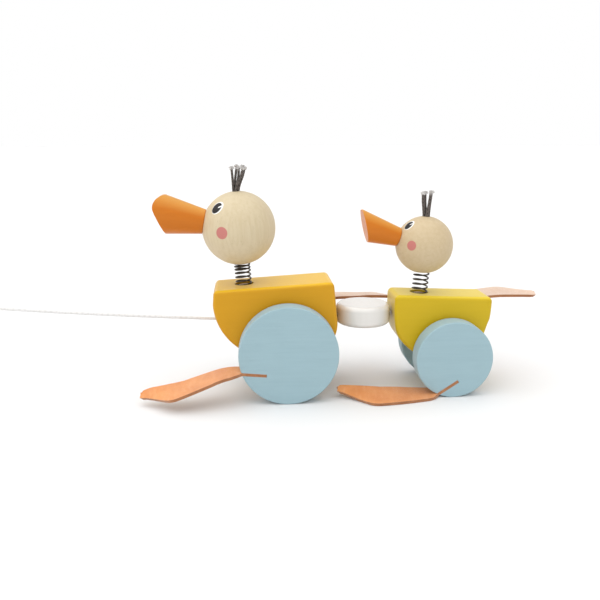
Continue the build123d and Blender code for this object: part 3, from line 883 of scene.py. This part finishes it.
# Pull cord, pulled tight to its bead; the route is (distance from the mother's axle, height)
pullCord = {
    "route": [(-0.0485, 0.05178), (-0.0600, 0.0524), (-0.0970, 0.0544), (-0.1340, 0.0568), (-0.1710, 0.0596),
              (-0.2080, 0.0628), (-0.2280, 0.0649)],
    "diameter": 0.002,
    "knot": {"steps": 24, "size": 0.00062, "flatness": 1.3, "ahead": 0.0022, "thickness": 0.00185},
}


def makeCord():
    axleX = ducks["mother"]["axle"].x
    route = [Vector((axleX + x, 0, z)) for x, z in pullCord["route"]]
    cord = tubeFromPoints("pullCord", route, pullCord["diameter"], order=3, sides=6)
    cord.data.splines[0].resolution_u = 24
    cord.data.materials.append(cordYarn)
    end = route[-1]
    way = (route[-1] - route[-2]).normalized()
    rise = way.cross(Vector((0, 1, 0))).normalized()
    tie = pullCord["knot"]
    size = tie["size"]
    points = []
    for i in range(tie["steps"]):  # once round a trefoil
        t = 2 * math.pi * i / tie["steps"]
        forward = way * (tie["ahead"] + size * tie["flatness"] * math.sin(3 * t))
        upward = rise * size * (math.cos(t) - 2 * math.cos(2 * t))
        sideways = Vector((0, size * (math.sin(t) + 2 * math.sin(2 * t)), 0))
        points.append(end + forward + upward + sideways)
    knot = toMesh("pullKnot", [tubeFromPoints("pullKnot", points, tie["thickness"], closed=True, sides=5)])
    knot.data.materials.append(cordYarn)
    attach(knot, "mother_body")
    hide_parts("pull_cord_knot")
    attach(cord, "mother_body")
    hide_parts("pull_cord")
    dress("pull_cord_inner_knot", cordYarn)


makeCord()
print("pull cord tied")


# Floor, light and camera
studio = {
    "floor": {"size": 14, "place": (0, 3, 0), "colour": (0.80, 0.80, 0.80), "mottle": 0.985, "mottleScale": 6.0,
              "roughness": 0.9},
    "air": {"horizon": 1.0, "overhead": 0.44, "bandTop": 0.22, "domeStart": 0.50},
    "sky": {"turn": (6, -10), "angle": 100.0, "strength": 2.75, "height": 1.5},
    "key": {"place": (-0.75, -1.0, 1.15), "aim": (0.0, 0.0, 0.07), "size": 0.9, "energy": 0.25},
    "camera": {"offset": (-0.0264, -0.4781, 0.17775), "pitch": 13.33, "yaw": -4.34, "lens": 42.0, "sensor": 36,
               "nearest": 0.01},
}


def makeFloor():
    look = studio["floor"]
    bpy.ops.mesh.primitive_plane_add(size=look["size"], location=look["place"])
    floor = bpy.context.object
    floor.name = "floor"
    material, tree, shader, place = newMaterial("floorPaper")
    mottle = remap(tree, noise(tree, place, look["mottleScale"], 4.0), 0.3, 0.7)
    colour = mixColour(tree, mottle, paint(look["colour"]), paint([c * look["mottle"] for c in look["colour"]]))
    tree.links.new(colour, shader.inputs["Base Color"])
    shader.inputs["Roughness"].default_value = look["roughness"]
    floor.data.materials.append(material)


def makeAir():
    air = studio["air"]
    world = bpy.data.worlds.new("studioAir")
    world.use_nodes = True
    backdrop = world.node_tree.nodes["Background"]
    backdrop.inputs["Color"].default_value = (1, 1, 1, 1)
    way = addNode(world.node_tree, "ShaderNodeTexCoord").outputs["Generated"]
    height = addNode(world.node_tree, "ShaderNodeSeparateXYZ", {0: way}).outputs[2]
    glow = remap(world.node_tree, height, air["bandTop"], air["domeStart"], air["horizon"], air["overhead"])
    world.node_tree.links.new(glow, backdrop.inputs["Strength"])
    bpy.context.scene.world = world


def makeLights():
    sky, key = studio["sky"], studio["key"]
    tilt, swing = [math.radians(turn) for turn in sky["turn"]]
    bpy.ops.object.light_add(type="SUN", location=(0, 0, sky["height"]), rotation=(tilt, swing, 0))
    bpy.context.object.name = "sky"
    bpy.context.object.data.angle = math.radians(sky["angle"])
    bpy.context.object.data.energy = sky["strength"]
    bpy.ops.object.light_add(type="AREA", location=key["place"])
    light = bpy.context.object
    light.name = "key"
    light.data.shape = "DISK"
    light.data.size = key["size"]
    light.data.energy = key["energy"]
    light.rotation_euler = (Vector(key["aim"]) - light.location).to_track_quat("-Z", "Y").to_euler()


def makeCamera():
    look = studio["camera"]
    offset = look["offset"]
    bpy.ops.object.camera_add(location=(ducks["mother"]["axle"].x + offset[0], offset[1], offset[2]))
    camera = bpy.context.object
    camera.rotation_euler = (math.radians(90 - look["pitch"]), 0, math.radians(look["yaw"]))
    camera.data.lens = look["lens"]
    camera.data.sensor_width = look["sensor"]
    camera.data.clip_start = look["nearest"]
    bpy.context.scene.camera = camera
    bpy.context.scene.view_settings.view_transform = "Standard"


makeFloor()
makeAir()
makeLights()
makeCamera()
clearSelection()
print("studio lit")
